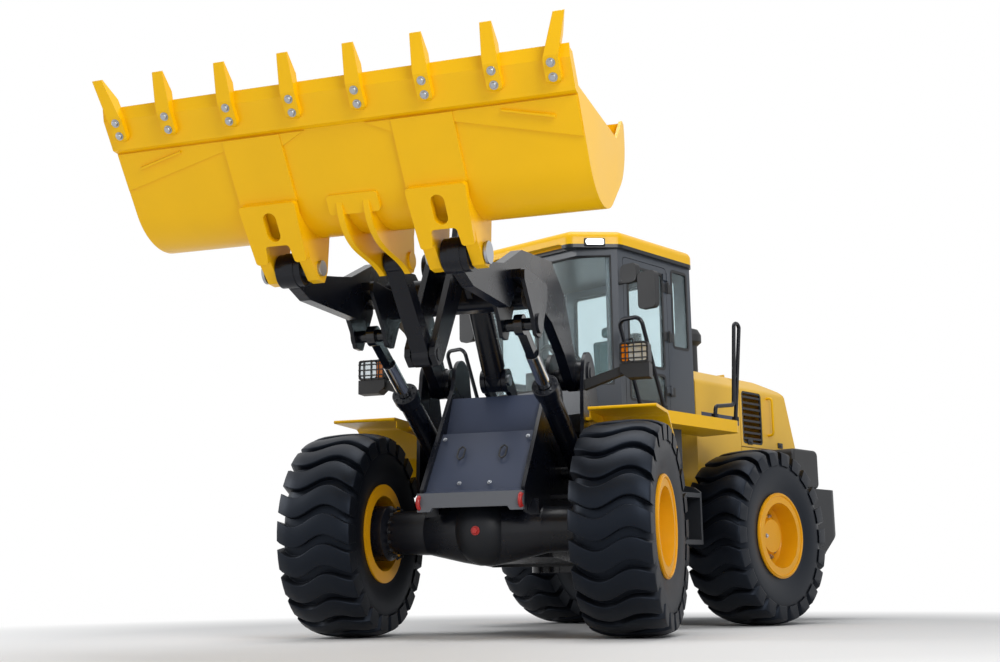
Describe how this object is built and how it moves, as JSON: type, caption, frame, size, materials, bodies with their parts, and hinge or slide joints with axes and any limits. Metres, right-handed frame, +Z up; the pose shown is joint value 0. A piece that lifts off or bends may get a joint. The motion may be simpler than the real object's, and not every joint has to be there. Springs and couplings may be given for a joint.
{
  "type": "wheel loader",
  "caption": "Articulated wheel loader with a toothed bucket on a lift boom, a glazed cab, a rear engine hood and a counterweight.",
  "frame": {"origin": "centre of the footprint box on the ground, with the machine standing on its wheels", "axes": "+X forward along the front half and boom, +Y to the machine's left, +Z up"},
  "size_m": [8.3355, 3.8309, 3.6197],
  "materials": {
    "amber": "plain",
    "black_plastic": "plain",
    "chrome_rod": "plain",
    "dark_grey": "plain",
    "engine_iron": "plain",
    "grey_paint": "gloss paint",
    "navy_paint": "gloss paint",
    "pale_yellow_paint": "gloss paint",
    "roof_shell": "gloss paint",
    "seat_fabric": "plain",
    "slate_paint": "gloss paint",
    "steel_pin": "plain",
    "tank_sheet": "plain",
    "tyre_rubber": "plain",
    "wheel_yellow": "gloss paint",
    "yellow_paint": "gloss paint"
  },
  "bodies": {
    "rear_body": {"rear_frame": "navy_paint", "rear_axle": "navy_paint", "engine_block": "engine_iron", "hood_front": "pale_yellow_paint", "tail_body": "pale_yellow_paint", "tail_grille": "black_plastic", "counterweight": "dark_grey", "box_left": "black_plastic", "box_right": "black_plastic", "cab_shell": "grey_paint", "cab_roof": "roof_shell", "seat": "seat_fabric", "console": "black_plastic", "decks": "yellow_paint", "tank_left": "tank_sheet", "tank_right": "tank_sheet", "handrails": "navy_paint", "mirrors": "black_plastic", "beacon": "amber", "exhaust": "black_plastic"},
    "hood_lid": {"hood_rear": "pale_yellow_paint", "hood_vents": "black_plastic"},
    "door_left": {"door_left": "grey_paint"},
    "door_right": {"door_right": "grey_paint"},
    "front_body": {"front_frame": "navy_paint", "front_cover": "slate_paint", "front_axle": "navy_paint", "fender_left": "yellow_paint", "fender_right": "yellow_paint", "headlamp_left": "black_plastic", "headlamp_right": "black_plastic"},
    "boom": {"boom": "navy_paint"},
    "bucket_pins": {"bucket_pins": "steel_pin"},
    "bucket": {"bucket": "yellow_paint", "bucket_edge": "yellow_paint"},
    "rocker_pin": {"rocker_pin": "steel_pin"},
    "rocker": {"rocker": "navy_paint"},
    "link": {"link": "navy_paint"},
    "tilt_pin": {"tilt_pin": "steel_pin"},
    "tilt_barrel": {"tilt_barrel": "navy_paint"},
    "tilt_rod": {"tilt_rod": "chrome_rod"},
    "lift_barrel_left": {"lift_barrel_left": "navy_paint"},
    "lift_rod_left": {"lift_rod_left": "chrome_rod"},
    "lift_barrel_right": {"lift_barrel_right": "navy_paint"},
    "lift_rod_right": {"lift_rod_right": "chrome_rod"},
    "steer_barrel_left": {"steer_barrel_left": "navy_paint"},
    "steer_rod_left": {"steer_rod_left": "chrome_rod"},
    "steer_barrel_right": {"steer_barrel_right": "navy_paint"},
    "steer_rod_right": {"steer_rod_right": "chrome_rod"},
    "wheel_front_left": {"tyre_front_left": "tyre_rubber", "rim_front_left": "wheel_yellow"},
    "wheel_front_right": {"tyre_front_right": "tyre_rubber", "rim_front_right": "wheel_yellow"},
    "wheel_rear_left": {"tyre_rear_left": "tyre_rubber", "rim_rear_left": "wheel_yellow"},
    "wheel_rear_right": {"tyre_rear_right": "tyre_rubber", "rim_rear_right": "wheel_yellow"}
  },
  "joints": [
    {"name": "steer", "type": "hinge", "parent": "rear_body", "child": "front_body", "pos_m": [-0.5935, -0.40082, 0.89969], "axis": [0, 0, 1], "range_deg": [-62.5, 13.5]},
    {"name": "boom_lift", "type": "hinge", "parent": "front_body", "child": "boom", "pos_m": [0.5365, -0.40082, 2.04969], "axis": [0, -1, 0], "range_deg": [-52, 41]},
    {"name": "bucket_level", "type": "hinge", "parent": "boom", "child": "bucket_pins", "pos_m": [3.2565, -0.40082, 2.39969], "axis": [0, -1, 0], "range_deg": [-30.02, 37.94]},
    {"name": "bucket_dump", "type": "hinge", "parent": "bucket_pins", "child": "bucket", "pos_m": [3.2565, -0.40082, 2.39969], "axis": [0, 1, 0], "range_deg": [0, 99]},
    {"name": "rocker_lift", "type": "hinge", "parent": "boom", "child": "rocker_pin", "pos_m": [1.94751, -0.40082, 2.67969], "axis": [0, -1, 0], "range_deg": [-11.99, 9.56]},
    {"name": "rocker_turn", "type": "hinge", "parent": "rocker_pin", "child": "rocker", "pos_m": [1.94751, -0.40082, 2.67969], "axis": [0, -1, 0], "range_deg": [-0.5, 31.73]},
    {"name": "link_turn", "type": "hinge", "parent": "rocker", "child": "link", "pos_m": [2.41251, -0.40082, 1.94669], "axis": [0, -1, 0], "range_deg": [-38.52, 0.5]},
    {"name": "tilt_lift", "type": "hinge", "parent": "front_body", "child": "tilt_pin", "pos_m": [0.8215, -0.40082, 1.99969], "axis": [0, -1, 0], "range_deg": [-59.04, 46.65]},
    {"name": "tilt_turn", "type": "hinge", "parent": "tilt_pin", "child": "tilt_barrel", "pos_m": [0.8215, -0.40082, 1.99969], "axis": [0, -1, 0], "range_deg": [-0.5, 8.2]},
    {"name": "tilt_stroke", "type": "slide", "parent": "tilt_barrel", "child": "tilt_rod", "axis": [0.5899, 0, 0.8075], "range_m": [-0.3182, 0.003]},
    {"name": "lift_swing_left", "type": "hinge", "parent": "front_body", "child": "lift_barrel_left", "pos_m": [0.3765, 0.16418, 1.27969], "axis": [0, -1, 0], "range_deg": [-40.1, 31.72]},
    {"name": "lift_stroke_left", "type": "slide", "parent": "lift_barrel_left", "child": "lift_rod_left", "axis": [0.8676, 0, 0.4973], "range_m": [-0.5438, 0.4294]},
    {"name": "lift_swing_right", "type": "hinge", "parent": "front_body", "child": "lift_barrel_right", "pos_m": [0.3765, -0.96582, 1.27969], "axis": [0, -1, 0], "range_deg": [-40.1, 31.72]},
    {"name": "lift_stroke_right", "type": "slide", "parent": "lift_barrel_right", "child": "lift_rod_right", "axis": [0.8676, 0, 0.4973], "range_m": [-0.5438, 0.4294]},
    {"name": "steer_swing_left", "type": "hinge", "parent": "rear_body", "child": "steer_barrel_left", "pos_m": [-1.06056, 0.14172, 0.83969], "axis": [0, 0, 1], "range_deg": [-13.85, 3.38]},
    {"name": "steer_stroke_left", "type": "slide", "parent": "steer_barrel_left", "child": "steer_rod_left", "axis": [0.9343, -0.3564, 0], "range_m": [-0.0707, 0.3166]},
    {"name": "steer_swing_right", "type": "hinge", "parent": "rear_body", "child": "steer_barrel_right", "pos_m": [-1.30938, -0.40426, 0.83969], "axis": [0, 0, 1], "range_deg": [-13.92, 3.4]},
    {"name": "steer_stroke_right", "type": "slide", "parent": "steer_barrel_right", "child": "steer_rod_right", "axis": [0.9539, -0.3001, 0], "range_m": [-0.3144, 0.0703]},
    {"name": "wheel_front_left_spin", "type": "hinge", "parent": "front_body", "child": "wheel_front_left", "pos_m": [1.0565, 0.72418, 0.79969], "axis": [0, 1, 0], "continuous": true},
    {"name": "wheel_front_right_spin", "type": "hinge", "parent": "front_body", "child": "wheel_front_right", "pos_m": [1.0565, -1.52582, 0.79969], "axis": [0, 1, 0], "continuous": true},
    {"name": "wheel_rear_left_spin", "type": "hinge", "parent": "rear_body", "child": "wheel_rear_left", "pos_m": [-1.6284, 1.30713, 0.79969], "axis": [0.4147, 0.91, 0], "continuous": true},
    {"name": "wheel_rear_right_spin", "type": "hinge", "parent": "rear_body", "child": "wheel_rear_right", "pos_m": [-2.56146, -0.74028, 0.79969], "axis": [0.4147, 0.91, 0], "continuous": true},
    {"name": "door_left_open", "type": "hinge", "parent": "rear_body", "child": "door_left", "pos_m": [-1.04779, 0.68097, 2.59969], "axis": [0, 0, 1], "range_deg": [0, 105]},
    {"name": "door_right_open", "type": "hinge", "parent": "rear_body", "child": "door_right", "pos_m": [-1.70798, -0.76769, 2.59969], "axis": [0, 0, -1], "range_deg": [0, 105]},
    {"name": "hood_open", "type": "hinge", "parent": "rear_body", "child": "hood_lid", "pos_m": [-2.63181, 0.52809, 2.44069], "axis": [0.4147, 0.91, 0], "range_deg": [0, 40]}
  ],
  "couplings": [
    {"joint": "bucket_level", "follows": "boom_lift", "ratio": -0.72},
    {"joint": "rocker_lift", "follows": "boom_lift", "ratio": 0.221},
    {"joint": "rocker_turn", "follows": "bucket_dump", "ratio": 0.3155},
    {"joint": "link_turn", "follows": "bucket_dump", "ratio": -0.384},
    {"joint": "tilt_lift", "follows": "boom_lift", "ratio": 1.1257},
    {"joint": "tilt_turn", "follows": "bucket_dump", "ratio": 0.0778},
    {"joint": "tilt_stroke", "follows": "bucket_dump", "m_per_rad": -0.1824},
    {"joint": "lift_swing_left", "follows": "boom_lift", "ratio": 0.7615},
    {"joint": "lift_stroke_left", "follows": "boom_lift", "m_per_rad": 0.59588},
    {"joint": "lift_swing_right", "follows": "boom_lift", "ratio": 0.7615},
    {"joint": "lift_stroke_right", "follows": "boom_lift", "m_per_rad": 0.59588},
    {"joint": "steer_swing_left", "follows": "steer", "ratio": 0.2136},
    {"joint": "steer_stroke_left", "follows": "steer", "m_per_rad": -0.28753},
    {"joint": "steer_swing_right", "follows": "steer", "ratio": 0.2148},
    {"joint": "steer_stroke_right", "follows": "steer", "m_per_rad": 0.28547}
  ]
}
